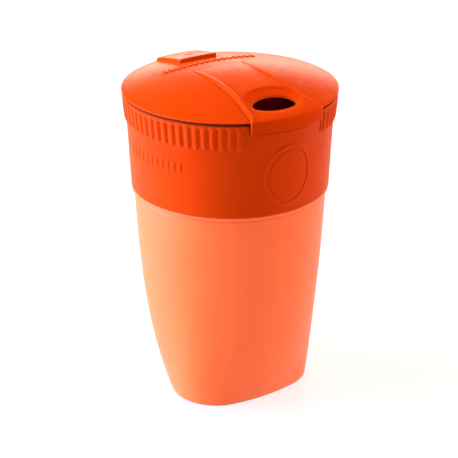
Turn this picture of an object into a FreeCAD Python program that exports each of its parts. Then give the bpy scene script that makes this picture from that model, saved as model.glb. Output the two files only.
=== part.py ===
"""Collapsible travel cup: a stiff collar, a soft cup body that folds up into it, and a press-on sip lid.

Frame: millimetres, +Z up, origin at the middle of the base on the surface it stands on.
The drinking hole points to -Y. Every piece is drawn with the hole to +X and turned by its Placement,
the collar and the lid a few degrees further than the rest.
The soft body is one moulding on the real cup. It is split here where it moves: the bowl stays with
the base, the folding wall rolls inside out, and the liner stays with the collar.
"""

import math
import os

import FreeCAD
import Part
import Sketcher

V = FreeCAD.Vector
UP = V(0, 0, 1)
BASE_TURN = -90.0

DIMENSIONS = {
    # soft body
    "wall_top_r": 34.2,  # outer radius of the soft wall under the collar
    "wall_top_z": 77.2,  # the collar's lower edge
    "wall_slope": 3.4,  # linear drop of the radius from the collar to the base
    "corner_bow": 2.85,  # further drop at the corners, growing with the square
    "flat_inset": 4.95,  # how far the flats lie inside the corners at the base
    "flat_power": 3.6,
    "bend_slope": 27.9,  # how the corner bend tightens from the round top
    "bend_bow": -9.7,
    "bowl_wall": 1.4,
    "floor_top_z": 2.6,
    "foot_recess": 0.8,
    "foot_width": 5.0,
    "foot_round": 0.9,
    "fold_wall": 0.8,
    "fold_low_z": 41.8,
    "fold_high_z": 75.9,
    # collar and its liner
    "top_turn": -2.6,  # how far the collar and lid sit turned from the base's flat, in degrees
    "collar_low_r": 35.1,
    "collar_high_r": 36.75,
    "collar_top_z": 111.2,
    "collar_wall": 1.3,
    "band_r": 37.6,
    "band_full_z": 102.8,
    "band_low_z": 99.0,
    "band_taper": 0.5,  # how much thinner the band is where it starts than at its top
    "notch_angle": 45.6,
    "flute_r": 0.95,
    "flute_offset": 0.35,
    "flute_depth": 8.3,
    "flutes_per_turn": 78.0,
    "flute_count": 68.0,
    "liner_wall": 0.9,
    "liner_top_z": 101.0,
    "shoulder_r": 34.75,
    # lid
    "lid_r": 38.0,
    "lid_low_z": 112.1,
    "lid_edge_z": 112.9,
    "lid_rise": 5.0,
    "lid_wall": 1.4,
    "seat_r": 35.75,
    "plug_gap": 0.3,
    "plug_wall": 1.3,
    "plug_low_z": 105.4,
    "spout_raise": 0.7,
    "spout_r": 38.8,
    "spout_far": 8.5,
    "spout_far_half": 10.0,
    "spout_mid_half": 11.0,
    "spout_near_half": 14.4,
    "lip_low_z": 108.5,
    "lip_inner_r": 37.2,
    "hole_x": 27.9,
    "hole_half_width": 8.0,
    "hole_half_length": 5.45,
    "dish_x": 27.0,
    "dish_half_width": 10.9,
    "dish_half_length": 8.0,
    "dish_floor_z": 114.0,
    "boss_low_z": 112.6,
    "tab_raise": 1.7,
    "tab_near_x": 21.5,
    "tab_half": 7.8,
    "vent_x": 27.2,
    "vent_length": 4.2,
    "vent_width": 0.9,
    "seal_z": 107.6,
    "seal_half_height": 0.9,
    "seal_depth": 0.8,
    "seal_gap": 0.03,
}

ABOVE = 130.0  # clear of everything, for cuts and spans that run past the top
SECTION_SHARES = (1.0, 0.8, 0.6, 0.4, 0.2, 0.0)
OVERLAP = 0.5  # how far fused pieces run into each other

doc = FreeCAD.newDocument("travel_cup")


class Size:
    """A length: its number now, and the expression that binds a feature to the sheet."""

    def __init__(self, number, text):
        self.number = number
        self.text = text

    def join(self, other, sign):
        if isinstance(other, Size):
            number, text = other.number, other.text
        else:
            number, text = other, repr(float(other))
        result = {
            "+": self.number + number,
            "-": self.number - number,
            "*": self.number * number,
        }[sign]
        return Size(result, f"({self.text} {sign} {text})")

    def __add__(self, other):
        return self.join(other, "+")

    def __sub__(self, other):
        return self.join(other, "-")

    def __mul__(self, other):
        return self.join(other, "*")


def make_sheet():
    """The driving dimensions, one row each: the name beside its number, which has the name as alias."""
    made = doc.addObject("Spreadsheet::Sheet", "Dims")
    for row, (alias, number) in enumerate(DIMENSIONS.items(), 1):
        made.set(f"A{row}", alias)
        made.set(f"B{row}", str(number))
        made.setAlias(f"B{row}", alias)
    doc.recompute()
    return made


sheet = make_sheet()


def size(alias):
    return Size(float(getattr(sheet, alias)), f"Dims.{alias}")


def value(alias):
    return size(alias).number


def bind(feature, **properties):
    """Binds properties to the sheet. A dot in a property's path is written as two underscores."""
    for name, length in properties.items():
        path = name.replace("__", ".")
        if isinstance(length, Size):
            feature.setExpression(path, length.text)
        else:
            feature.setExpression(path, repr(float(length)))
    return feature


# ---------------------------------------------------------------- turned pieces


def origin_plane(body, role):
    return next(f for f in body.Origin.OriginFeatures if f.Role == role)


def outline_sketch(body, name, corners):
    """A closed outline of straight runs on the body's XZ plane. Each corner is (radius, height)."""
    sketch = body.newObject("Sketcher::SketchObject", name)
    sketch.AttachmentSupport = (origin_plane(body, "XZ_Plane"), [""])
    sketch.MapMode = "FlatFace"
    points = [V(r.number, z.number, 0) for r, z in corners]
    count = len(points)
    for i in range(count):
        sketch.addGeometry(Part.LineSegment(points[i], points[(i + 1) % count]), False)
    for i in range(count):
        joined = Sketcher.Constraint("Coincident", i, 2, (i + 1) % count, 1)
        sketch.addConstraint(joined)
    for i, (r, z) in enumerate(corners):
        for kind, length in (("DistanceX", r), ("DistanceY", z)):
            limit = Sketcher.Constraint(kind, -1, 1, i, 1, length.number)
            index = sketch.addConstraint(limit)
            sketch.setExpression(f"Constraints[{index}]", length.text)
    return sketch


def turned_body(label, corners):
    """A body turned about Z from an outline of (radius, height) corners."""
    body = doc.addObject("PartDesign::Body", label)
    sketch = outline_sketch(body, f"{label}_outline", corners)
    turned = body.newObject("PartDesign::Revolution", f"{label}_turned")
    turned.Profile = sketch
    turned.ReferenceAxis = (sketch, ["V_Axis"])
    turned.Angle = 360.0
    sketch.Visibility = False
    doc.recompute()
    return body


def collar_outer_r(height):
    """The collar's plain outer wall, as a Size, at a height given as a Size."""
    low, high = size("collar_low_r"), size("collar_high_r")
    rise = (value("collar_high_r") - value("collar_low_r")) / (
        value("collar_top_z") - value("wall_top_z")
    )
    number = low.number + rise * (height.number - value("wall_top_z"))
    text = (
        f"({low.text} + ({high.text} - {low.text}) * ({height.text} - Dims.wall_top_z)"
        f" / (Dims.collar_top_z - Dims.wall_top_z))"
    )
    return Size(number, text)


def make_collar():
    """The stiff ring: a drafted wall with a thicker band at the top, fluted except under the spout."""
    low, top = size("wall_top_z"), size("collar_top_z")
    wall, band = size("collar_wall"), size("band_r")
    edge = 0.35
    body = turned_body(
        "collar_ring",
        [
            (collar_outer_r(low) - wall, low),
            (collar_outer_r(low) - edge, low),
            (collar_outer_r(low + edge), low + edge),
            (collar_outer_r(size("band_low_z")), size("band_low_z")),
            (band - size("band_taper"), size("band_full_z")),
            (band, top - 0.7),
            (band - 0.45, top - 0.1),
            (band - 0.7, top),
            (collar_outer_r(top) - wall, top),
        ],
    )
    cut_notch(body)
    cut_flutes(body)
    return body


def cut_notch(body):
    """Takes the top of the band away under the spout, so that the lid's lip sits in the notch."""
    low, top, past = size("lip_low_z") - 0.4, size("collar_top_z") + 1.0, size("band_r") + 2.0
    sketch = outline_sketch(
        body,
        "notch_outline",
        [
            (collar_outer_r(low) + 0.1, low),
            (past, low),
            (past, top),
            (collar_outer_r(top) + 0.1, top),
        ],
    )
    notch = body.newObject("PartDesign::Groove", "spout_notch")
    notch.Profile = sketch
    notch.ReferenceAxis = (sketch, ["V_Axis"])
    notch.Midplane = True
    bind(notch, Angle=size("notch_angle"))
    sketch.Visibility = False
    doc.recompute()


def cut_flutes(body):
    """One flute beside the notch, repeated round the band to the notch's other side."""
    pitch = 360.0 / value("flutes_per_turn")
    count = int(value("flute_count"))
    first = (360.0 - pitch * (count - 1)) / 2
    radius = value("band_r") + value("flute_offset")
    centre = V(radius * math.cos(math.radians(first)), radius * math.sin(math.radians(first)), 0)
    sketch = body.newObject("Sketcher::SketchObject", "flute_outline")
    sketch.AttachmentSupport = (origin_plane(body, "XY_Plane"), [""])
    sketch.MapMode = "FlatFace"
    bind(sketch, AttachmentOffset__Base__z=size("collar_top_z"))
    sketch.addGeometry(Part.Circle(centre, UP, value("flute_r")), False)
    index = sketch.addConstraint(Sketcher.Constraint("Radius", 0, value("flute_r")))
    sketch.setExpression(f"Constraints[{index}]", "Dims.flute_r")
    flute = body.newObject("PartDesign::Pocket", "flute")
    flute.Profile = sketch
    bind(flute, Length=size("flute_depth"))
    sketch.Visibility = False
    doc.recompute()
    ring = body.newObject("PartDesign::PolarPattern", "flutes")
    ring.Originals = [flute]
    ring.Axis = (sketch, ["N_Axis"])
    bind(ring, Angle=size("flute_count") * pitch - pitch)
    ring.Occurrences = count
    body.Tip = ring
    doc.recompute()


def make_liner():
    """The soft layer inside the collar, with the shoulder that shows under the collar's edge."""
    low, edge, top = size("fold_high_z"), size("wall_top_z"), size("liner_top_z")
    wall, liner = size("collar_wall"), size("liner_wall")
    return turned_body(
        "collar_liner",
        [
            (collar_outer_r(edge) - wall - liner, low),
            (size("shoulder_r") - 0.3, low),
            (size("shoulder_r"), low + 0.3),
            (size("shoulder_r"), edge),
            (collar_outer_r(edge) - wall, edge),
            (collar_outer_r(top) - wall, top),
            (collar_outer_r(top - 0.8) - wall - liner, top - 0.8),
        ],
    )


def make_seal():
    """The soft ring in the plug's groove that bears on the collar's inside."""
    middle, half = size("seal_z"), size("seal_half_height")
    mouth = collar_outer_r(middle) - size("collar_wall")
    plug = mouth - size("plug_gap")
    inner, outer = plug - size("seal_depth"), mouth - size("seal_gap")
    return turned_body(
        "lid_seal",
        [
            (inner, middle - half),
            (plug, middle - half),
            (outer, middle - half * 0.3),
            (outer, middle + half * 0.3),
            (plug, middle + half),
            (inner, middle + half),
        ],
    )


# ---------------------------------------------------------------- lid, from primitives


def cylinder(name, radius, low, high):
    made = doc.addObject("Part::Cylinder", name)
    return bind(made, Radius=radius, Height=high - low, Placement__Base__z=low)


def dome(name, raise_by, radius, low):
    """What lies under the lid's dome, raised by some height, inside a radius and above a level."""
    rise, edge = value("lid_rise"), value("lid_r")
    ball_r = (edge**2 + rise**2) / (2 * rise)
    ball_text = "(Dims.lid_r * Dims.lid_r + Dims.lid_rise * Dims.lid_rise) / (2 * Dims.lid_rise)"
    ball_size = Size(ball_r, f"({ball_text})") + raise_by
    ball = doc.addObject("Part::Sphere", f"{name}_ball")
    bind(ball, Radius=ball_size)
    bind(ball, Placement__Base__z=size("lid_edge_z") + size("lid_rise") - Size(ball_r, ball_text))
    trunk = cylinder(f"{name}_trunk", radius, low, Size(ABOVE, repr(ABOVE)))
    return common(name, trunk, ball)


def common(name, *pieces):
    made = doc.addObject("Part::MultiCommon", name)
    made.Shapes = list(pieces)
    return made


def fused(name, *pieces):
    made = doc.addObject("Part::MultiFuse", name)
    made.Shapes = list(pieces)
    made.Refine = True
    return made


def cut(name, base, tool):
    made = doc.addObject("Part::Cut", name)
    made.Base, made.Tool = base, tool
    return made


def oval(name, centre_x, half_width, half_length, low, high):
    """An upright oval prism, wide across the lid (Y) and short along the spout (X)."""
    flat = doc.addObject("Part::Ellipse", f"{name}_outline")
    flat.Placement = FreeCAD.Placement(V(0, 0, 0), FreeCAD.Rotation(UP, 90))
    bind(flat, MajorRadius=half_width, MinorRadius=half_length)
    bind(flat, Placement__Base__x=centre_x, Placement__Base__z=low)
    prism = doc.addObject("Part::Extrusion", name)
    prism.Base = flat
    prism.Dir = UP
    prism.Solid = True
    return bind(prism, LengthFwd=high - low)


def upright_block(name, low_x, high_x, half_y, low, high):
    block = doc.addObject("Part::Box", name)
    bind(block, Length=high_x - low_x, Width=half_y * 2, Height=high - low)
    return bind(
        block, Placement__Base__x=low_x, Placement__Base__y=half_y * -1, Placement__Base__z=low
    )


def spout_plan():
    """The spout band's outline from above: narrow past the middle, flaring to the rim."""
    far, near = value("spout_far"), value("spout_r") + OVERLAP
    half = [value("spout_far_half"), value("spout_mid_half"), value("spout_near_half")]
    middle = (near - far) / 2
    upper = Part.Arc(V(-far, half[0], 0), V(middle, half[1], 0), V(near, half[2], 0)).toShape()
    lower = Part.Arc(V(-far, -half[0], 0), V(middle, -half[1], 0), V(near, -half[2], 0)).toShape()
    ends = [
        Part.makeLine(V(-far, -half[0], 0), V(-far, half[0], 0)),
        Part.makeLine(V(near, half[2], 0), V(near, -half[2], 0)),
    ]
    face = Part.Face(Part.Wire(Part.__sortEdges__([upper, lower, *ends])))
    plan = doc.addObject("Part::Feature", "spout_plan")
    plan.Shape = face.extrude(V(0, 0, ABOVE))
    return plan


def make_lid():
    """The stiff lid: domed disc, plug skirt, raised spout band with its lip, and thumb tab."""
    above = Size(ABOVE, repr(ABOVE))
    low, mouth = size("lid_low_z"), collar_outer_r(size("seal_z")) - size("collar_wall")
    plug_r = mouth - size("plug_gap")
    bore_r = plug_r - size("plug_wall")
    inner_dome = dome("inner_dome", size("lid_wall") * -1, bore_r, size("plug_low_z") - OVERLAP)
    shell = cut(
        "disc_shell",
        fused(
            "disc_block",
            dome("disc", Size(0.0, "0.0"), size("lid_r"), low),
            cylinder("seat", size("seat_r"), size("collar_top_z"), low + OVERLAP),
            cylinder("plug", plug_r, size("plug_low_z"), low + OVERLAP),
        ),
        inner_dome,
    )
    plan = spout_plan()
    band = common("spout_band", dome("band_dome", size("spout_raise"), size("spout_r"), low), plan)
    lip_ring = cut(
        "lip_ring",
        cylinder("lip_outside", size("spout_r"), size("lip_low_z"), low + OVERLAP),
        cylinder("lip_inside", size("lip_inner_r"), size("lip_low_z") - 1.0, low),
    )
    lip = common("spout_lip", lip_ring, plan)
    hollow = dome("under_band", size("lid_wall") * -1, bore_r, size("plug_low_z") - 1.0)
    tab_block = upright_block(
        "tab_block",
        size("lid_r") * -1,
        size("tab_near_x") * -1,
        size("tab_half"),
        size("lid_edge_z") - 0.6,
        above,
    )
    tab = common("thumb_tab", dome("tab_dome", size("tab_raise"), size("lid_r"), low), tab_block)
    boss = oval(
        "dish_boss",
        size("dish_x"),
        size("dish_half_width"),
        size("dish_half_length") - 1.0,
        size("boss_low_z"),
        size("dish_floor_z"),
    )
    solid = fused("lid_block", shell, cut("band_skin", band, hollow), lip, tab, boss)
    dish = oval(
        "dish",
        size("dish_x"),
        size("dish_half_width"),
        size("dish_half_length"),
        size("dish_floor_z"),
        above,
    )
    hole = oval(
        "drinking_hole",
        size("hole_x"),
        size("hole_half_width"),
        size("hole_half_length"),
        size("plug_low_z"),
        above,
    )
    vent = upright_block(
        "vent_slot",
        size("vent_x") * -1,
        size("vent_x") * -1 + size("vent_width"),
        size("vent_length") * 0.5,
        size("plug_low_z"),
        above,
    )
    groove_r = plug_r - size("seal_depth")
    groove = cut(
        "seal_groove",
        cylinder(
            "groove_outside",
            plug_r + 1.0,
            size("seal_z") - size("seal_half_height"),
            size("seal_z") + size("seal_half_height"),
        ),
        cylinder("groove_inside", groove_r, size("plug_low_z"), low),
    )
    return cut("lid_cap", solid, fused("lid_openings", dish, hole, vent, groove))


# ---------------------------------------------------------------- soft walls, lofted


def wall_radii(height):
    """The soft wall's outer radius at a corner, at the middle of a flat, and of the corner's bend."""
    u = 1.0 - height / value("wall_top_z")
    top, slope = value("wall_top_r"), value("wall_slope")
    corner = top - slope * u - value("corner_bow") * u**2
    flat = corner - value("flat_inset") * u ** value("flat_power")
    bend = top - value("bend_slope") * u - value("bend_bow") * u**2
    return corner, flat, bend


def section(height, inset=0.0, level=None):
    """A rounded triangle of six tangent arcs: the wall's outline at a height, drawn inset.

    The corners point to 180 and to 60 degrees either side of the spout. Each side is an arc about
    a centre on the far side of the axis, and each corner is an arc that meets its sides smoothly.
    """
    corner, flat, bend = wall_radii(height)
    out = corner - bend
    gap = flat - bend
    back = (out**2 - gap**2) / (2 * gap - out)
    side_r = flat + back - inset
    bend -= inset
    level = height if level is None else level

    def at(radius, degrees):
        return V(
            radius * math.cos(math.radians(degrees)), radius * math.sin(math.radians(degrees)), level
        )

    edges = []
    for k in range(3):
        angle = 60 + 120 * k
        corner_c = at(out, angle)
        next_c = at(out, angle + 120)
        side_c = at(back, angle + 240)
        last_side_c = at(back, angle + 120)
        leave = corner_c + (corner_c - side_c).normalize() * bend
        enter = corner_c + (corner_c - last_side_c).normalize() * bend
        arrive = next_c + (next_c - side_c).normalize() * bend
        tip = at(out + bend, angle)
        middle = side_c + at(1, angle + 60).sub(V(0, 0, level)) * side_r
        edges.append(Part.Arc(enter, tip, leave).toShape())
        edges.append(Part.Arc(leave, middle, arrive).toShape())
    return Part.Wire(edges)


def lofted(low, high, inset):
    """The solid inside the wall's outline, drawn inset, between two heights."""
    top = min(high, value("wall_top_z") - 1.0)
    heights = [top + (low - top) * share for share in SECTION_SHARES]
    return Part.makeLoft([section(z, inset) for z in reversed(heights)], True, False)


def prism(height, inset, low, high):
    """A straight-sided block with the wall's outline at one height."""
    face = Part.Face(section(height, inset, low))
    return face.extrude(V(0, 0, high - low))


def shape_feature(label, shape):
    made = doc.addObject("Part::Feature", label)
    made.Shape = shape
    return made


def make_bowl():
    """The lower, thicker part of the soft body, with its floor and a foot rim round the underside."""
    top, floor = value("fold_low_z"), value("floor_top_z")
    outside = lofted(0.0, top, 0.0)
    rim = [e for e in outside.Edges if e.BoundBox.ZMax < 1e-3]
    outside = outside.makeFillet(value("foot_round"), rim)
    inside = lofted(floor, top, value("bowl_wall"))
    under = prism(0.0, value("foot_width"), -1.0, value("foot_recess"))
    return shape_feature("base_bowl", outside.cut(inside).cut(under))


def make_folding_wall():
    """The thin upper part of the soft body, which rolls inside out when the cup is pushed together."""
    low, high = value("fold_low_z"), value("fold_high_z")
    outside = lofted(low, high, 0.0)
    inside = lofted(low, high, value("fold_wall"))
    return shape_feature("folding_wall", outside.cut(inside))


# ---------------------------------------------------------------- build, check and write


def check_document():
    for item in doc.Objects:
        bad = [word for word in item.State if word in ("Invalid", "Error")]
        if bad:
            raise RuntimeError(f"{item.Name} did not compute: {item.State}")


def write(pieces):
    os.makedirs("parts", exist_ok=True)
    for label, piece in pieces.items():
        shape = piece.Shape
        if shape.isNull() or not shape.isValid():
            raise RuntimeError(f"{label} has no valid shape")
        box = shape.BoundBox
        print(f"{label}: {len(shape.Solids)} solid, {shape.Volume / 1000:.2f} cm3, "
              f"z {box.ZMin:.2f} to {box.ZMax:.2f}, {box.XLength:.1f} x {box.YLength:.1f}")
        shape.exportStep(f"parts/{label}.step")


def main():
    pieces = {
        "base_bowl": make_bowl(),
        "folding_wall": make_folding_wall(),
        "collar_ring": make_collar(),
        "collar_liner": make_liner(),
        "lid_cap": make_lid(),
        "lid_seal": make_seal(),
    }
    for label, piece in pieces.items():
        turn = BASE_TURN
        if label in ("collar_ring", "lid_cap"):
            turn += value("top_turn")
        piece.Label = label
        piece.Placement = FreeCAD.Placement(V(0, 0, 0), FreeCAD.Rotation(UP, turn))
    doc.recompute()
    check_document()
    write(pieces)


main()
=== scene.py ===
"""Collapsible travel cup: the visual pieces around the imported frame.

Lengths are worked out in millimetres and turned into metres when a mesh is made. Columns of every
mesh run round the cup's axis, and a column's angle is measured from the drinking hole (-Y) to +X.
"""

import math

import bmesh
import bpy
import numpy as np
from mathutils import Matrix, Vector


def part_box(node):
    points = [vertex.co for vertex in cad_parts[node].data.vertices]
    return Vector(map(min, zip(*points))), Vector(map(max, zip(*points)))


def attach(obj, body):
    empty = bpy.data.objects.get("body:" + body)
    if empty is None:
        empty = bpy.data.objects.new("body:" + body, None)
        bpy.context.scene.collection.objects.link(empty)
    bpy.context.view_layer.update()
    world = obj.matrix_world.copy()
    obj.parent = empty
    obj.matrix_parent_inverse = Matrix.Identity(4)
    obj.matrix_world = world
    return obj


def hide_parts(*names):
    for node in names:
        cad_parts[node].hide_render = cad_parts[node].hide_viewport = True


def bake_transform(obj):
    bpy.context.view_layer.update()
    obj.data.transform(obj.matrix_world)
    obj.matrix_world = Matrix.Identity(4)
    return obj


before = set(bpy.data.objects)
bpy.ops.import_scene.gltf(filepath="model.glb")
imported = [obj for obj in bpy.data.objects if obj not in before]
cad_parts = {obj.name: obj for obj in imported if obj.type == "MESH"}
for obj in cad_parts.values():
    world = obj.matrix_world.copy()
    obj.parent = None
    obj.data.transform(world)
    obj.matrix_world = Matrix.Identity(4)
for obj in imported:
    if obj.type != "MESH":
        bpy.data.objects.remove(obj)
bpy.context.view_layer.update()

MM = 0.001


def cad(node):
    """(lowest corner, highest corner) of a CAD node in millimetres."""
    low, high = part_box(node)
    return np.array(low) / MM, np.array(high) / MM


# Heights and radii the frame gives.
FOLD_LOW = float(cad("folding_wall")[0][2])
FOLD_HIGH = float(cad("folding_wall")[1][2])
COLLAR_LOW = float(cad("collar_ring")[0][2])
COLLAR_TOP = float(cad("collar_ring")[1][2])
PLUG_LOW = float(cad("lid_cap")[0][2])
LID_R = float(cad("lid_cap")[1][0])
LIP_R = float(-cad("lid_cap")[0][1])
LINER_TOP = float(cad("collar_liner")[1][2])
SHOULDER_R = float(cad("collar_liner")[1][0])
SEAL_LOW = float(cad("lid_seal")[0][2])
SEAL_HIGH = float(cad("lid_seal")[1][2])

RIBS_PER_TURN = 78
RIB_PITCH = math.radians(360 / RIBS_PER_TURN)
TOP_TURN = math.radians(-2.6)


def step(low, high, x):
    """Smooth rise from 0 at low to 1 at high."""
    t = np.clip((np.asarray(x, float) - low) / (high - low), 0.0, 1.0)
    return t * t * (3 - 2 * t)


def turned(points):
    """Points of the collar or the lid, which sit turned a little from the base's flat."""
    c, s = math.cos(TOP_TURN), math.sin(TOP_TURN)
    points = np.asarray(points)
    x, y = points[..., 0], points[..., 1]
    return np.stack([c * x - s * y, s * x + c * y, points[..., 2]], axis=-1)


def column_angles(count):
    return np.arange(count) * (2 * math.pi / count)


def signed(angle):
    """The same angle between -pi and pi."""
    return (np.asarray(angle) + math.pi) % (2 * math.pi) - math.pi


def ring(angles, radius, height):
    """One row of points: a radius and a height, each a number or one per column."""
    radius = np.broadcast_to(radius, angles.shape)
    height = np.broadcast_to(height, angles.shape)
    return np.stack([radius * np.sin(angles), -radius * np.cos(angles), height], axis=1)


def make_object(name, points, faces, sharp=32.0):
    mesh = bpy.data.meshes.new(name)
    mesh.from_pydata((np.asarray(points) * MM).tolist(), [], faces)
    mesh.update()
    mesh.shade_smooth()
    mesh.set_sharp_from_angle(angle=math.radians(sharp))
    made = bpy.data.objects.new(name, mesh)
    bpy.context.scene.collection.objects.link(made)
    return made


def strip_faces(rows, columns, closed=False):
    """Quads between neighbouring rows. Outside rows run upwards, so that faces point outwards."""
    faces = []
    last = rows if closed else rows - 1
    for i in range(last):
        a, b = i * columns, (i + 1) % rows * columns
        for j in range(columns):
            k = (j + 1) % columns
            faces.append((a + j, a + k, b + k, b + j))
    return faces


# ---------------------------------------------------------------- soft cup

WALL_TOP_R = 34.2
WALL_SLOPE = 3.4
CORNER_BOW = 2.85
FLAT_INSET = 4.95
FLAT_POWER = 3.6
BEND_SLOPE = 27.9
BEND_BOW = -9.7
ROUNDEST = 0.012  # keeps the side arcs finite where the outline is nearly a circle
COLLAR_LOW_R = 35.1
COLLAR_DRAFT = 1.65  # how much the collar's plain wall widens over its height
COLLAR_WALL = 1.3
LINER_WALL = 0.9
LINER_GAP = 0.03
BOWL_WALL = 1.4
FOLD_WALL = 0.8
HINGE_WALL = 0.15  # where the folding wall turns over
FLOOR_TOP = 2.6
FLOOR_ROUND = 4.0
FOOT_RECESS = 0.8
FOOT_WIDTH = 5.0
FOOT_EDGE = 0.3
FOOT_ROUND = 0.9
CREASE = 0.12  # the small step in under the shoulder
NEAR_AXIS = 0.02  # share of the radius where rows stop and a cap closes the skin
CUP_COLUMNS = 360
FOLD_ROWS = 46


def wall_outline(angles, z, inset=0.0):
    """Radius per column of the soft wall: a rounded triangle, its flats at 0 and +-120 degrees."""
    u = max(1.0 - z / COLLAR_LOW, ROUNDEST)
    corner = WALL_TOP_R - WALL_SLOPE * u - CORNER_BOW * u**2
    flat = corner - FLAT_INSET * u**FLAT_POWER
    bend = WALL_TOP_R - BEND_SLOPE * u - BEND_BOW * u**2
    out, gap = corner - bend, flat - bend
    back = (out**2 - gap**2) / (2 * gap - out)
    side_r, bend_r = flat + back - inset, bend - inset
    third = math.radians(60)
    away = np.abs((angles + third) % (2 * third) - third)
    dx, dy = out * math.cos(third) + back, out * math.sin(third)
    length = math.hypot(dx, dy)
    meet = math.atan2(dy + dy / length * bend_r, dx - back + dx / length * bend_r)
    on_side = -back * np.cos(away) + np.sqrt(side_r**2 - (back * np.sin(away)) ** 2)
    turn = third - away
    on_bend = out * np.cos(turn) + np.sqrt(np.maximum(bend_r**2 - (out * np.sin(turn)) ** 2, 0))
    return np.where(away < meet, on_side, on_bend)


def collar_plain_r(z):
    """The collar's drafted wall without its band."""
    return COLLAR_LOW_R + COLLAR_DRAFT * (z - COLLAR_LOW) / (COLLAR_TOP - COLLAR_LOW)


def wall_row(angles, z, inset=0.0, share=1.0):
    """A row of the soft wall at a height, drawn inset, or shrunk to a share of its radius."""
    return ring(angles, wall_outline(angles, z, inset) * share, z)


def foot_rows(angles):
    """The underside: the recess from its middle outwards, and the inner edge of the foot rim."""
    recess = wall_outline(angles, 0.0, FOOT_WIDTH)
    rows = [ring(angles, recess * share, FOOT_RECESS) for share in (NEAR_AXIS, 0.35, 0.7, 1.0)]
    rows.append(ring(angles, recess, FOOT_EDGE))
    rows.append(ring(angles, wall_outline(angles, 0.0, FOOT_WIDTH - FOOT_EDGE), 0.0))
    return rows


def outside_rows(angles):
    """The outside, from the rounded foot up to the crease under the shoulder."""
    rows = []
    for a in np.radians(np.linspace(0, 90, 8)):
        inset = FOOT_ROUND * (1 - math.sin(a))
        rows.append(wall_row(angles, FOOT_ROUND * (1 - math.cos(a)), inset))
    for z in np.linspace(FOOT_ROUND, FOLD_LOW, 26)[1:-1]:
        rows.append(wall_row(angles, z))
    for z in np.linspace(FOLD_LOW, FOLD_HIGH - 0.5, FOLD_ROWS):
        rows.append(wall_row(angles, z))
    rows.append(wall_row(angles, FOLD_HIGH - 0.25, CREASE))
    rows.append(wall_row(angles, FOLD_HIGH - 0.05, CREASE))
    return rows


def shoulder_rows(angles):
    """The bead that shows under the collar, then the liner's outside, hidden by the collar."""
    bead = (
        (SHOULDER_R - 0.28, FOLD_HIGH),
        (SHOULDER_R - 0.07, FOLD_HIGH + 0.12),
        (SHOULDER_R, FOLD_HIGH + 0.35),
        (SHOULDER_R, COLLAR_LOW - 0.12),
        (SHOULDER_R - 0.1, COLLAR_LOW - 0.03),
        (collar_plain_r(COLLAR_LOW) - COLLAR_WALL - LINER_GAP, COLLAR_LOW - 0.02),
    )
    rows = [ring(angles, radius, z) for radius, z in bead]
    for z in np.linspace(COLLAR_LOW + 0.5, LINER_TOP - 0.5, 6):
        rows.append(ring(angles, collar_plain_r(z) - COLLAR_WALL - LINER_GAP, z))
    return rows


def inside_rows(angles):
    """Over the liner's top edge and down the inside of the liner, the folding wall and the bowl."""
    top = collar_plain_r(LINER_TOP) - COLLAR_WALL
    rows = []
    for inset, drop in ((0.1, 0.15), (0.3, 0.0), (0.6, 0.02), (0.8, 0.25), (LINER_WALL, 0.8)):
        rows.append(ring(angles, top - inset, LINER_TOP - drop))
    for z in np.linspace(LINER_TOP - 1.5, COLLAR_LOW + 1.0, 6):
        rows.append(ring(angles, collar_plain_r(z) - COLLAR_WALL - LINER_WALL, z))
    for z in np.linspace(FOLD_HIGH, FOLD_LOW + 1.2, FOLD_ROWS):
        rows.append(wall_row(angles, z, FOLD_WALL))
    rows.append(wall_row(angles, FOLD_LOW + 0.5, 0.45))
    rows.append(wall_row(angles, FOLD_LOW, HINGE_WALL))
    rows.append(wall_row(angles, FOLD_LOW - 0.6, 0.75))
    for z in np.linspace(FOLD_LOW - 1.2, FLOOR_TOP + FLOOR_ROUND, 22):
        rows.append(wall_row(angles, z, BOWL_WALL))
    return rows


def floor_rows(angles):
    """The round between the bowl's wall and its floor, then the floor inwards."""
    rows = []
    for a in np.radians(np.linspace(12, 90, 7)):
        inset = BOWL_WALL + FLOOR_ROUND * (1 - math.cos(a))
        rows.append(wall_row(angles, FLOOR_TOP + FLOOR_ROUND * (1 - math.sin(a)), inset))
    for share in (0.66, 0.33, NEAR_AXIS):
        rows.append(wall_row(angles, FLOOR_TOP, BOWL_WALL + FLOOR_ROUND, share))
    return rows


def make_soft_cup():
    """The soft moulding: bowl, folding wall, shoulder and liner in one skin."""
    angles = column_angles(CUP_COLUMNS)
    rows = foot_rows(angles) + outside_rows(angles) + shoulder_rows(angles)
    rows += inside_rows(angles) + floor_rows(angles)
    points = np.concatenate(rows)
    faces = strip_faces(len(rows), CUP_COLUMNS)
    faces.append(tuple(reversed(range(CUP_COLUMNS))))
    last = (len(rows) - 1) * CUP_COLUMNS
    faces.append(tuple(range(last, last + CUP_COLUMNS)))
    cup = make_object("soft_cup", points, faces)
    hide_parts("base_bowl", "folding_wall", "collar_liner")
    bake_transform(cup)
    return cup


# ---------------------------------------------------------------- collar

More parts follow.
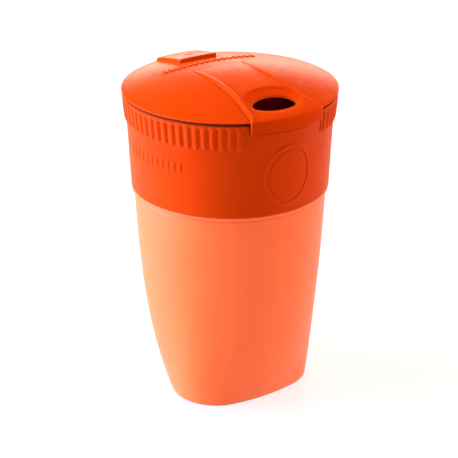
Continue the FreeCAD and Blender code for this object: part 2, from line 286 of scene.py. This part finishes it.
RIB_DEPTH = 0.55
RIB_FOOT = 102.6
RIB_FOOT_DROP = 1.1  # how much lower a rib's foot is at its crest than at its sides
FLARE_TOP = 110.0
RIBBED_FLARE, RIBBED_FLARE_LOW = 0.55, 97.5
PLAIN_FLARE, PLAIN_FLARE_LOW = 1.1, 94.0
COLLAR_EDGE = 0.35
COLLAR_TOP_ROUND = 0.7
FIRST_RIB = math.radians(-30) - TOP_TURN
PLAIN_HALF = math.radians(23.6)
PLAIN_FADE = math.radians(18)
NOTCH_HALF = math.radians(22.6)
NOTCH_LOW = 108.25
NOTCH_R = 36.9
BADGE_Z = 91.4
BADGE_ANGLE = math.radians(-1.5) - TOP_TURN
BADGE_HALF_WIDTH = 9.4
BADGE_HALF_HEIGHT = 11.6
BADGE_RAISE = 0.55
BADGE_RING_INSET = 1.6
BADGE_RING_DEPTH = 0.3
BAR_ROW_Z = 94.4
BAR_FIRST = math.radians(-63.0) - TOP_TURN
BAR_STEP = math.radians(-4.0)
BAR_COUNT = 11
BAR_WIDTH = 1.15
BAR_HEIGHT = 3.8
BAR_RAISE = 0.22


def collar_between_ribs(z, ribbed):
    """The collar's outer radius without its ribs. It flares more where there are none."""
    narrow = RIBBED_FLARE * step(RIBBED_FLARE_LOW, FLARE_TOP, z)
    wide = PLAIN_FLARE * step(PLAIN_FLARE_LOW, FLARE_TOP, z)
    return collar_plain_r(z) + wide + (narrow - wide) * ribbed


def badge_relief(angles, z):
    """A plain raised oval with a shallow ring cut in it, under the spout."""
    across = signed(angles - BADGE_ANGLE) * collar_plain_r(z) / BADGE_HALF_WIDTH
    along = (z - BADGE_Z) / BADGE_HALF_HEIGHT
    reach = np.sqrt(across**2 + along**2)
    edge = (1 - reach) * BADGE_HALF_WIDTH
    from_ring = np.abs(edge - BADGE_RING_INSET)
    groove = BADGE_RING_DEPTH * (1 - step(0.2, 0.6, from_ring))
    return BADGE_RAISE * step(-0.1, 0.45, edge) - groove


def bar_relief(angles, z):
    """A row of small raised bars on the left of the collar."""
    height = 0 * angles
    if abs(z - BAR_ROW_Z) > BAR_HEIGHT:
        return height
    up = BAR_HEIGHT / 2 - abs(z - BAR_ROW_Z)
    for k in range(BAR_COUNT):
        across = np.abs(signed(angles - BAR_FIRST - k * BAR_STEP)) * collar_plain_r(z)
        inside = np.minimum(BAR_WIDTH / 2 - across, up)
        height = np.maximum(height, BAR_RAISE * step(-0.12, 0.25, inside))
    return height


def collar_outside(angles, z):
    """The collar's outer radius per column at a height."""
    away = np.abs(signed(angles))
    spread = step(PLAIN_HALF - PLAIN_FADE, PLAIN_HALF + math.radians(1), away)
    radius = collar_between_ribs(z, spread)
    ribbed = step(PLAIN_HALF, PLAIN_HALF + math.radians(0.8), away)
    wave = 0.5 - 0.5 * np.cos((angles - FIRST_RIB) / RIB_PITCH * 2 * math.pi)
    fade = 1 - step(COLLAR_TOP - 1.1, COLLAR_TOP - 0.5, z)
    crest = 1 - wave**1.5 * fade
    foot = step(RIB_FOOT - 0.45, RIB_FOOT + 0.45, z - RIB_FOOT_DROP * wave)
    radius = radius + RIB_DEPTH * crest * foot * ribbed
    behind_lip = 1 - step(NOTCH_HALF, NOTCH_HALF + math.radians(0.6), away)
    notch = behind_lip * step(NOTCH_LOW - 0.2, NOTCH_LOW + 0.2, z)
    radius = radius - notch * np.maximum(radius - NOTCH_R, 0)
    return radius + badge_relief(angles, z) + bar_relief(angles, z)


def make_collar():
    """The stiff ring with its ribbed band, raised oval and row of bars."""
    columns = RIBS_PER_TURN * 14
    angles = column_angles(columns)
    low_r = collar_plain_r(COLLAR_LOW)
    rows = [ring(angles, low_r - COLLAR_WALL, COLLAR_LOW)]
    for a in np.radians(np.linspace(0, 75, 4)):
        radius = low_r - COLLAR_EDGE * (1 - math.sin(a))
        rows.append(ring(angles, radius, COLLAR_LOW + COLLAR_EDGE * (1 - math.cos(a))))
    heights = [
        *np.linspace(COLLAR_LOW + COLLAR_EDGE, 80.0, 5),
        *np.arange(80.35, 103.2, 0.35),
        *np.arange(103.4, COLLAR_TOP - COLLAR_TOP_ROUND, 0.45),
    ]
    for z in heights:
        rows.append(ring(angles, collar_outside(angles, z), z))
    round_low = COLLAR_TOP - COLLAR_TOP_ROUND
    for a in np.radians(np.linspace(0, 90, 6)):
        inset = COLLAR_TOP_ROUND * (1 - math.cos(a))
        z = round_low + COLLAR_TOP_ROUND * math.sin(a)
        rows.append(ring(angles, collar_outside(angles, round_low) - inset, z))
    top_r = collar_plain_r(COLLAR_TOP) - COLLAR_WALL
    rows.append(ring(angles, top_r + 0.15, COLLAR_TOP))
    rows.append(ring(angles, top_r, COLLAR_TOP - 0.15))
    for z in np.linspace(COLLAR_TOP - 3, COLLAR_LOW + 1, 7):
        rows.append(ring(angles, collar_plain_r(z) - COLLAR_WALL, z))
    points = turned(np.concatenate(rows))
    collar = make_object("collar_shell", points, strip_faces(len(rows), columns, closed=True))
    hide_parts("collar_ring")
    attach(collar, "collar")
    return collar


# ---------------------------------------------------------------- lid

RIM_LOW = 112.35
RIM_TOP = 112.9
DOME_RISE = 5.0
LID_WALL = 1.4
SPOUT_FAR = 8.5
SPOUT_HALF, SPOUT_FLARE = 9.7, 4.7
RIDGE_RAISE, RIDGE_INSET, RIDGE_WIDTH = 0.5, 0.62, 0.46
CREVICE_DEPTH, CREVICE_OUT, CREVICE_WIDTH = 0.22, 0.45, 0.3
LIP_LOW = 108.5
LIP_CREASE = 113.2
LIP_INNER_R = 37.25
LIP_HALF = math.radians(21.9)
HOLE_Y = -27.9
HOLE_HALF_WIDTH = 8.0
HOLE_HALF_LENGTH = 5.45
DISH_Y = -27.0
DISH_HALF_WIDTH = 11.0
DISH_HALF_LENGTH = 8.3
DISH_DEPTH = 1.6
DISH_SLOPE = 0.45
HOLE_ROUND_DEPTH, HOLE_ROUND_WIDTH = 0.4, 0.5
TAB_Y = 21.2
TAB_HALF = 7.6
TAB_FLARE = 0.045
TAB_RAISE = 1.45
SLOT_Y = 27.2
SLOT_HALF_LENGTH, SLOT_HALF_WIDTH, SLOT_DEPTH = 1.8, 0.36, 0.8
LID_BAR_PITCH = 2.4
LID_BAR_WIDTH = 1.1
LID_BAR_HALF_LENGTH = 1.25
LID_BAR_RAISE = 0.45
LID_BARS_X, LID_BARS_Y = 0.6, 15.7
LID_BARS_HALF = 19.3
PLUG_GAP = 0.3
GROOVE_DEPTH = 0.8
LIP_ROUND = 0.3
TOP_ROWS = 124
LID_COLUMNS = 1080
SHEET_R = 37.5
BORE_R = 33.6
SEAT_R = 35.7


def dome(r):
    ball = (LID_R**2 + DOME_RISE**2) / (2 * DOME_RISE)
    return RIM_TOP + DOME_RISE - ball + np.sqrt(ball**2 - r**2)


def spout_half(y):
    """The spout band's half width: even past the middle, flaring towards the rim."""
    s = np.clip((SPOUT_FAR - y) / (SPOUT_FAR + LID_R), 0, 1)
    return SPOUT_HALF + SPOUT_FLARE * s**2.3


def spout_share(x, y):
    """1 on the spout band, 0 off it: a short ramp at its sides, a longer one at its far end."""
    inside = spout_half(y) - np.abs(x)
    return step(-0.25, 0.25, inside) * step(-1.1, 1.1, SPOUT_FAR - y)


def spout_raise(x, y):
    """How far the spout band stands over the dome, with a soft ridge along its sides."""
    s = np.clip((SPOUT_FAR - y) / LID_R, 0, 1)
    level = -0.05 + 1.15 * s**0.8 - 0.5 * step(0.72, 1.0, s)
    inside = spout_half(y) - np.abs(x)
    ridge = RIDGE_RAISE * np.exp(-(((inside - RIDGE_INSET) / RIDGE_WIDTH) ** 2))
    return level + ridge * step(0.1, 0.45, s)


def dish_depth(x, y):
    """The oval dish round the drinking hole, with a small step at its edge."""
    reach = np.sqrt((x / DISH_HALF_WIDTH) ** 2 + ((y - DISH_Y) / DISH_HALF_LENGTH) ** 2)
    slope = np.clip((1 - reach) / DISH_SLOPE, 0, 1)
    side = 0.3 + 0.7 * step(-34.0, -28.0, y)
    return DISH_DEPTH * (0.3 * step(0, 0.08, 1 - reach) + 0.7 * slope) * (reach < 1) * side


def hole_reach(x, y):
    """1 on the drinking hole's edge, less inside it."""
    return np.sqrt((x / HOLE_HALF_WIDTH) ** 2 + ((y - HOLE_Y) / HOLE_HALF_LENGTH) ** 2)


def tab_share(x, y):
    """1 on the thumb tab, 0 off it."""
    half = TAB_HALF + TAB_FLARE * (y - TAB_Y)
    side = step(-0.18, 0.18, half - np.abs(x))
    front = step(-0.22, 0.22, y - TAB_Y)
    back = 1 - step(SHEET_R - 0.45, SHEET_R - 0.05, np.hypot(x, y))
    return side * front * back


def slot_share(x, y):
    """1 in the small slot in the tab, 0 outside it."""
    along = step(-0.12, 0.12, SLOT_HALF_LENGTH - np.abs(x))
    return along * step(-0.12, 0.12, SLOT_HALF_WIDTH - np.abs(y - SLOT_Y))


def lid_bars(x, y):
    """A row of small raised bars between the tab and the spout band."""
    from_bar = np.abs((x + LID_BAR_PITCH / 2) % LID_BAR_PITCH - LID_BAR_PITCH / 2)
    along = LID_BAR_HALF_LENGTH - np.abs(y - LID_BARS_Y)
    in_row = LID_BARS_HALF - np.abs(x - LID_BARS_X)
    inside = np.minimum(np.minimum(LID_BAR_WIDTH / 2 - from_bar, along), in_row)
    return LID_BAR_RAISE * step(-0.12, 0.15, inside)


def spout_crevice(x, y):
    """The fine line beside the spout band."""
    outside = np.abs(x) - spout_half(y) - CREVICE_OUT
    depth = CREVICE_DEPTH * np.exp(-((outside / CREVICE_WIDTH) ** 2))
    return depth * step(-0.3, 0.3, SPOUT_FAR - y)


def hole_round(x, y):
    """How far the surface has dropped on the rounded edge of the drinking hole."""
    edge = (hole_reach(x, y) - 1) * HOLE_HALF_LENGTH
    share = np.clip(edge / HOLE_ROUND_WIDTH, 0, 1)
    return HOLE_ROUND_DEPTH * (1 - np.sqrt(share * (2 - share)))


def lid_top(x, y):
    """The height of the lid's upper surface."""
    share = spout_share(x, y)
    z = dome(np.hypot(x, y)) + share * (spout_raise(x, y) - dish_depth(x, y))
    z = z - spout_crevice(x, y) - hole_round(x, y) + lid_bars(x, y)
    tab = TAB_RAISE * (1 - 0.01 * (y - TAB_Y)) * tab_share(x, y)
    return z + tab - SLOT_DEPTH * slot_share(x, y)


def arc_rows(centre_r, centre_z, radius, start, stop, count):
    """Points round part of a circle in a column's plane: angle 0 points outwards and 90 up."""
    turns = np.radians(np.linspace(start, stop, count))
    return [(centre_r + radius * math.cos(a), centre_z + radius * math.sin(a)) for a in turns]


def rim_profile():
    """The plain rim from the top sheet's edge, round the edge, to under the rim."""
    edge = (RIM_TOP - RIM_LOW) / 2
    points = arc_rows(LID_R - edge, RIM_LOW + edge, edge, 75, -90, 9)
    points += [(LIP_INNER_R + 0.1, RIM_LOW), (LIP_INNER_R, RIM_LOW), (LIP_INNER_R - 0.1, RIM_LOW)]
    return points


def lip_profile(low):
    """The lip: over the crease, down its face, round its foot and up behind it."""
    points = arc_rows(LIP_R - 0.35, LIP_CREASE - 0.35, 0.35, 60, 0, 4)
    points += [(LIP_R, (LIP_CREASE + low) / 2)]
    points += arc_rows(LIP_R - LIP_ROUND, low + LIP_ROUND, LIP_ROUND, 0, -90, 4)
    points += [(LIP_INNER_R + 0.2, low), (LIP_INNER_R, low + 0.2), (LIP_INNER_R - 0.1, RIM_LOW)]
    return points


def edge_rings(angles):
    """Rows from the edge of the top sheet to under the rim: lip columns differ from the others."""
    away = np.abs(signed(angles))
    from_side = (LIP_HALF - away) * LIP_R
    round_off = np.clip(from_side / 0.5, 0, 1)
    low = LIP_LOW + 0.5 * (1 - np.sqrt(round_off * (2 - round_off)))
    plain = rim_profile()
    rows = []
    for k in range(len(plain)):
        lip_r = np.array([lip_profile(z)[k][0] for z in low])
        lip_z = np.array([lip_profile(z)[k][1] for z in low])
        radius = np.where(from_side >= 0, lip_r, plain[k][0])
        height = np.where(from_side >= 0, lip_z, plain[k][1])
        rows.append(ring(angles, radius, height))
    return rows


def plug_rings(angles):
    """Rows down the outside of the plug, with the seal's groove, and up its inside."""

    def outside(z):
        return collar_plain_r(z) - COLLAR_WALL - PLUG_GAP

    groove = outside(SEAL_LOW) - GROOVE_DEPTH
    points = [
        (SEAT_R, RIM_LOW),
        (SEAT_R, COLLAR_TOP + 0.03),
        (outside(COLLAR_TOP) + PLUG_GAP, COLLAR_TOP + 0.03),
        (outside(COLLAR_TOP), COLLAR_TOP - 0.3),
        (outside(SEAL_HIGH), SEAL_HIGH + 0.02),
        (groove, SEAL_HIGH + 0.02),
        (groove, SEAL_LOW - 0.02),
        (outside(SEAL_LOW), SEAL_LOW - 0.02),
        (outside(PLUG_LOW), PLUG_LOW + 0.5),
        (outside(PLUG_LOW) - 0.3, PLUG_LOW + 0.1),
        (outside(PLUG_LOW) - 0.65, PLUG_LOW),
        (BORE_R + 0.25, PLUG_LOW + 0.1),
        (BORE_R, PLUG_LOW + 0.5),
        (BORE_R, RIM_LOW - LID_WALL),
        (BORE_R - 0.1, RIM_LOW - 0.5),
    ]
    return [ring(angles, radius, z) for radius, z in points]


def sheet_plan(angles):
    """Plan positions of the top sheet's rows, and which of its cells the drinking hole removes."""
    radii = np.linspace(0.12, SHEET_R, TOP_ROWS)
    x = radii[:, None] * np.sin(angles)[None, :]
    y = -radii[:, None] * np.cos(angles)[None, :]
    next_x, next_y = np.roll(x, -1, axis=1), np.roll(y, -1, axis=1)
    mid_x = (x[:-1] + x[1:] + next_x[:-1] + next_x[1:]) / 4
    mid_y = (y[:-1] + y[1:] + next_y[:-1] + next_y[1:]) / 4
    open_cell = hole_reach(mid_x, mid_y) < 1
    touched = np.zeros(x.shape, int)
    for di in (0, 1):
        for dj in (0, 1):
            touched[di : di + TOP_ROWS - 1] += np.roll(open_cell, dj, axis=1)
    on_edge = (touched > 0) & (touched < 4)
    reach = hole_reach(x, y)
    x = np.where(on_edge, x / reach, x)
    y = np.where(on_edge, HOLE_Y + (y - HOLE_Y) / reach, y)
    return radii, x, y, open_cell


def make_lid():
    """The stiff lid as one closed skin, with the drinking hole cut through both of its sheets."""
    angles = column_angles(LID_COLUMNS)
    radii, x, y, open_cell = sheet_plan(angles)
    top = np.stack([x, y, lid_top(x, y)], axis=2)
    inner_rows = int((radii < BORE_R - 0.15).sum())
    under_z = dome(np.hypot(x, y)) - LID_WALL
    under = np.stack([x, y, under_z], axis=2)[:inner_rows]
    middle = np.array(edge_rings(angles) + plug_rings(angles))
    rows = np.concatenate([under, middle[::-1], top[::-1]])
    count = len(rows)
    faces = []
    for i in range(count - 1):
        if i < inner_rows - 1:
            cells = open_cell[i]
        elif i >= count - TOP_ROWS:
            cells = open_cell[count - 2 - i]
        else:
            cells = np.zeros(LID_COLUMNS, bool)
        a, b = i * LID_COLUMNS, (i + 1) * LID_COLUMNS
        for j in np.nonzero(~cells)[0].tolist():
            k = (j + 1) % LID_COLUMNS
            faces.append((a + k, a + j, b + j, b + k))
    faces += hole_walls(open_cell, count)
    last = (count - 1) * LID_COLUMNS
    faces.append(tuple(range(LID_COLUMNS)))
    faces.append(tuple(reversed(range(last, last + LID_COLUMNS))))
    points = turned(rows.reshape(-1, 3))
    lid = make_object("lid_shell", points, faces)
    drop_loose(lid)
    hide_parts("lid_cap")
    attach(lid, "lid")
    return lid


def hole_walls(open_cell, count):
    """Quads joining the two sheets round the hole's edge."""

    def under(i, j):
        return i * LID_COLUMNS + j % LID_COLUMNS

    def top(i, j):
        return (count - 1 - i) * LID_COLUMNS + j % LID_COLUMNS

    walls = []
    for i, j in zip(*np.nonzero(open_cell)):
        i, j = int(i), int(j)
        sides = (
            (i - 1, j, (i, j + 1), (i, j)),
            (i + 1, j, (i + 1, j), (i + 1, j + 1)),
            (i, (j - 1) % LID_COLUMNS, (i, j), (i + 1, j)),
            (i, (j + 1) % LID_COLUMNS, (i + 1, j + 1), (i, j + 1)),
        )
        for other_i, other_j, start, end in sides:
            if not open_cell[other_i, other_j]:
                walls.append((under(*start), under(*end), top(*end), top(*start)))
    return walls


def drop_loose(obj):
    """Deletes points that no face uses."""
    mesh = obj.data
    used = np.zeros(len(mesh.vertices), bool)
    loops = np.zeros(len(mesh.loops), int)
    mesh.loops.foreach_get("vertex_index", loops)
    used[loops] = True
    work = bmesh.new()
    work.from_mesh(mesh)
    loose = [v for v in work.verts if not used[v.index]]
    bmesh.ops.delete(work, geom=loose, context="VERTS")
    work.to_mesh(mesh)
    work.free()


# ---------------------------------------------------------------- seal


def make_seal():
    """The soft ring in the plug's groove: a rounded lip on a square back."""
    angles = column_angles(240)
    low, high = SEAL_LOW, SEAL_HIGH
    middle = (low + high) / 2
    mouth = collar_plain_r(middle) - COLLAR_WALL
    inner = mouth - 1.08
    points = [
        (inner, low),
        (mouth - 0.45, low),
        (mouth - 0.2, low + 0.2),
        (mouth - 0.07, middle - 0.35),
        (mouth - 0.04, middle),
        (mouth - 0.07, middle + 0.35),
        (mouth - 0.2, high - 0.2),
        (mouth - 0.45, high),
        (inner, high),
    ]
    rows = [ring(angles, radius, z) for radius, z in points]
    faces = strip_faces(len(rows), len(angles), closed=True)
    seal = make_object("seal_ring", np.concatenate(rows), faces, sharp=50.0)
    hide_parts("lid_seal")
    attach(seal, "lid")
    return seal


# ---------------------------------------------------------------- materials

DEEP_ORANGE = (0.52, 0.034, 0.0002)
ORANGE = (0.57, 0.038, 0.0003)
# Paler orange painted on sharp turns of the surface as a highlight, and how much of it they take.
EDGE_HIGHLIGHT_ORANGE = (1.0, 0.16, 0.03)
EDGE_HIGHLIGHT_SHARE = 0.6  # how much of the painted highlight colour an edge takes
# Reach of the painted shade that darkens narrow gaps.
PAINTED_SHADE_REACH = 0.0016


def add(tree, kind, **values):
    """A node with its inputs or settings filled in, by name."""
    node = tree.nodes.new(kind)
    for name, setting in values.items():
        label = name.replace("_", " ")
        if label in node.inputs:
            node.inputs[label].default_value = setting
        else:
            setattr(node, name, setting)
    return node


def ramp(tree, source, stops):
    node = tree.nodes.new("ShaderNodeValToRGB")
    elements = node.color_ramp.elements
    while len(elements) < len(stops):
        elements.new(0.5)
    for element, (place, colour) in zip(elements, stops):
        element.position = place
        element.color = (*colour, 1.0)
    tree.links.new(source, node.inputs["Fac"])
    return node.outputs["Color"]


def noise(tree, **values):
    """Noise that sticks to the object, so that it moves with its piece."""
    node = add(tree, "ShaderNodeTexNoise", **values)
    place = tree.nodes.new("ShaderNodeTexCoord")
    tree.links.new(place.outputs["Object"], node.inputs["Vector"])
    return node.outputs["Fac"]


def mixed(tree, share, first, second, blend_type="MIX"):
    """Two colours mixed. The share and the second colour are each a value or a node's output."""
    node = add(tree, "ShaderNodeMix", data_type="RGBA", blend_type=blend_type)
    tree.links.new(first, node.inputs[6])
    for socket, source in ((node.inputs[0], share), (node.inputs[7], second)):
        if isinstance(source, bpy.types.NodeSocket):
            tree.links.new(source, socket)
        else:
            socket.default_value = source
    return node.outputs[2]


def painted_edge_highlights(tree, colour, edge_highlight, reach):
    """Painted highlight: paler colour where the surface turns sharply, where light would catch it.
    The reach stays under the wall's thickness.
    """
    rim = add(tree, "ShaderNodeAmbientOcclusion", Distance=reach, samples=8, inside=True)
    edges = ramp(tree, rim.outputs["AO"], ((0.45, (1, 1, 1)), (0.8, (0, 0, 0))))
    amount = add(tree, "ShaderNodeMath", operation="MULTIPLY")
    amount.inputs[1].default_value = EDGE_HIGHLIGHT_SHARE
    tree.links.new(edges, amount.inputs[0])
    return mixed(tree, amount.outputs[0], colour, (*edge_highlight, 1.0))


def painted_crevice_shade(tree, colour):
    """Painted shade: darker colour in narrow gaps, such as the one under the lid's rim, where shade
    falls.
    """
    gap_occlusion = add(tree, "ShaderNodeAmbientOcclusion", Distance=PAINTED_SHADE_REACH, samples=6)
    depth = add(tree, "ShaderNodeMapRange", From_Min=0.1, From_Max=0.72)
    depth.inputs["To Min"].default_value = 0.05
    tree.links.new(gap_occlusion.outputs["AO"], depth.inputs["Value"])
    return mixed(tree, 1.0, colour, depth.outputs["Result"], "MULTIPLY")


def scuffed(tree, roughness):
    """Roughness that varies with faint scuffs."""
    node = add(tree, "ShaderNodeMapRange", From_Min=0.35, From_Max=0.7)
    node.inputs["To Min"].default_value = roughness - 0.05
    node.inputs["To Max"].default_value = roughness + 0.09
    scuff = noise(tree, Scale=210.0, Detail=6.0, Roughness=0.75)
    tree.links.new(scuff, node.inputs["Value"])
    return node.outputs["Result"]


def grained(tree, grain, bump):
    """The fine grain of a moulded surface, as a normal."""
    relief = add(tree, "ShaderNodeBump", Strength=bump, Distance=0.0001)
    fine = noise(tree, Scale=grain, Detail=4.0, Roughness=0.6)
    tree.links.new(fine, relief.inputs["Height"])
    return relief.outputs["Normal"]


def plastic(name, deep, plain, edge_highlight, sheen, roughness, grain, bump, glow, gloss, haze, edge):
    """Moulded plastic: slow colour drift, fine grain, faint scuffs, a painted highlight on sharp
    turns and painted shade in narrow gaps.
    """
    material = bpy.data.materials.new(name)
    material.use_nodes = True
    tree = material.node_tree
    shader = tree.nodes["Principled BSDF"]
    drift = noise(tree, Scale=38.0, Detail=3.0)
    colour = ramp(tree, drift, ((0.3, deep), (0.62, plain)))
    # Sharp turns get a painted highlight and narrow gaps get painted shade.
    colour = painted_crevice_shade(tree, painted_edge_highlights(tree, colour, edge_highlight, edge))
    tree.links.new(colour, shader.inputs["Base Color"])
    tree.links.new(scuffed(tree, roughness), shader.inputs["Roughness"])
    tree.links.new(grained(tree, grain, bump), shader.inputs["Normal"])
    settings = {
        "Subsurface Weight": glow,
        "Subsurface Radius": (0.004, 0.0014, 0.0006),
        "Subsurface Scale": 1.0,
        "IOR": 1.6,
        "Specular IOR Level": gloss,
        "Specular Tint": (*sheen, 1.0),
        "Sheen Weight": haze,
        "Sheen Roughness": 0.4,
        "Sheen Tint": (*sheen, 1.0),
    }
    for label, setting in settings.items():
        shader.inputs[label].default_value = setting
    return material


def lid_plastic():
    return plastic(
        "satin_orange",
        deep=DEEP_ORANGE,
        plain=ORANGE,
        # Colour of the painted highlight on sharp turns; edge is its reach.
        edge_highlight=EDGE_HIGHLIGHT_ORANGE,
        sheen=(1.0, 0.5, 0.07),
        roughness=0.22,
        grain=2600.0,
        bump=0.35,
        glow=0.0,
        gloss=0.01,
        haze=0.16,
        edge=0.0005,
    )


def collar_plastic():
    return plastic(
        "satin_orange_collar",
        deep=DEEP_ORANGE,
        plain=ORANGE,
        # Colour of the painted highlight on sharp turns; edge is its reach.
        edge_highlight=EDGE_HIGHLIGHT_ORANGE,
        sheen=(1.0, 0.65, 0.3),
        roughness=0.42,
        grain=2600.0,
        bump=0.35,
        glow=0.0,
        gloss=0.02,
        haze=0.26,
        edge=0.0007,
    )


def cup_rubber():
    return plastic(
        "soft_peach_orange",
        deep=(1.0, 0.128, 0.012),
        plain=(1.0, 0.136, 0.014),
        # Colour of the painted highlight on sharp turns; edge is its reach.
        edge_highlight=(1.0, 0.22, 0.06),
        sheen=(1.0, 0.95, 0.9),
        roughness=0.46,
        grain=3400.0,
        bump=0.2,
        glow=0.1,
        gloss=0.4,
        haze=0.14,
        edge=0.0001,
    )


def seal_rubber():
    return plastic(
        "seal_rubber",
        deep=(0.8, 0.16, 0.05),
        plain=(0.9, 0.22, 0.08),
        # Colour of the painted highlight on sharp turns; edge is its reach.
        edge_highlight=(1.0, 0.35, 0.16),
        sheen=(1.0, 0.85, 0.75),
        roughness=0.5,
        grain=3400.0,
        bump=0.3,
        glow=0.1,
        gloss=0.4,
        haze=0.1,
        edge=0.0004,
    )


def paint(obj, material):
    obj.data.materials.clear()
    obj.data.materials.append(material)


# ---------------------------------------------------------------- stage, in metres

FLOOR_HALF = 3.0
FLOOR_Z = -0.00005
FLOOR_GREY = 0.15
FLOOR_GLOW = 0.78
CAMERA_AZIMUTH = -35.0
CAMERA_ELEVATION = 23.7
CAMERA_DISTANCE = 0.6555
CAMERA_LENS = 142.7
CAMERA_SHIFT = -0.0022
TARGET_Z = 0.0581
LIGHTS_AIM = (0, 0, 0.07)
LIGHTS = (
    # name, azimuth from the camera, elevation, distance, width, height, watts, colour
    ("key_left", -88, 14, 0.7, 0.5, 0.6, 16.0, (0.92, 0.93, 1.5)),
    ("fill_right", 108, 18, 0.9, 0.4, 0.6, 6.2, (1, 0.64, 0.38)),
    ("back", 170, 9, 0.9, 1.0, 0.2, 4.6, (1, 0.88, 0.76)),
    ("front", -10, 38, 0.9, 0.6, 0.4, 1.6, (1, 0.72, 0.4)),
    ("front_right", 48, 16, 0.9, 0.5, 0.5, 1.7, (1, 0.62, 0.3)),
)
WORLD_STRENGTH = 0.12


def make_floor():
    size = FLOOR_HALF
    mesh = bpy.data.meshes.new("floor")
    corners = [(-size, -size, 0), (size, -size, 0), (size, size, 0), (-size, size, 0)]
    mesh.from_pydata(corners, [], [(0, 1, 2, 3)])
    floor = bpy.data.objects.new("floor", mesh)
    floor.location.z = FLOOR_Z
    bpy.context.scene.collection.objects.link(floor)
    material = bpy.data.materials.new("pale_floor")
    material.use_nodes = True
    shader = material.node_tree.nodes["Principled BSDF"]
    shader.inputs["Base Color"].default_value = (FLOOR_GREY, FLOOR_GREY, FLOOR_GREY, 1)
    shader.inputs["Emission Color"].default_value = (1, 1, 1, 1)
    shader.inputs["Emission Strength"].default_value = FLOOR_GLOW
    shader.inputs["Roughness"].default_value = 0.6
    paint(floor, material)


def aim(obj, place, target):
    """Puts a light or a camera at a place and turns it towards a target."""
    obj.location = place
    direction = Vector(target) - Vector(place)
    obj.rotation_euler = direction.to_track_quat("-Z", "Y").to_euler()
    bpy.context.scene.collection.objects.link(obj)


def around(azimuth, elevation, distance, height):
    """A point seen from the cup at an azimuth (0 is in front of the spout) and elevation."""
    a, e = math.radians(azimuth), math.radians(elevation)
    return (
        distance * math.sin(a) * math.cos(e),
        -distance * math.cos(a) * math.cos(e),
        height + distance * math.sin(e),
    )


def area_light(name, place, width, height, power, colour):
    data = bpy.data.lights.new(name, "AREA")
    data.shape = "RECTANGLE"
    data.size, data.size_y = width, height
    data.energy = power
    data.color = colour
    aim(bpy.data.objects.new(name, data), place, LIGHTS_AIM)


def make_lights():
    for name, azimuth, elevation, distance, *rest in LIGHTS:
        place = around(CAMERA_AZIMUTH + azimuth, elevation, distance, LIGHTS_AIM[2])
        area_light(name, place, *rest)
    area_light("top", (0.0, 0.1, 1.0), 0.8, 0.8, 6.8, (1, 0.88, 0.7))


def make_world():
    world = bpy.data.worlds.new("studio")
    bpy.context.scene.world = world
    world.use_nodes = True
    background = world.node_tree.nodes["Background"]
    background.inputs["Color"].default_value = (1, 1, 1, 1)
    background.inputs["Strength"].default_value = WORLD_STRENGTH
    bpy.context.scene.view_settings.view_transform = "Standard"


def make_camera():
    data = bpy.data.cameras.new("camera")
    data.lens = CAMERA_LENS
    data.sensor_width = 36.0
    data.clip_start = 0.01
    data.shift_x = CAMERA_SHIFT
    camera = bpy.data.objects.new("camera", data)
    place = around(CAMERA_AZIMUTH, CAMERA_ELEVATION, CAMERA_DISTANCE, TARGET_Z)
    aim(camera, place, (0, 0, TARGET_Z))
    bpy.context.scene.camera = camera


paint(make_soft_cup(), cup_rubber())
paint(make_collar(), collar_plastic())
paint(make_lid(), lid_plastic())
paint(make_seal(), seal_rubber())
make_floor()
make_camera()
make_lights()
make_world()
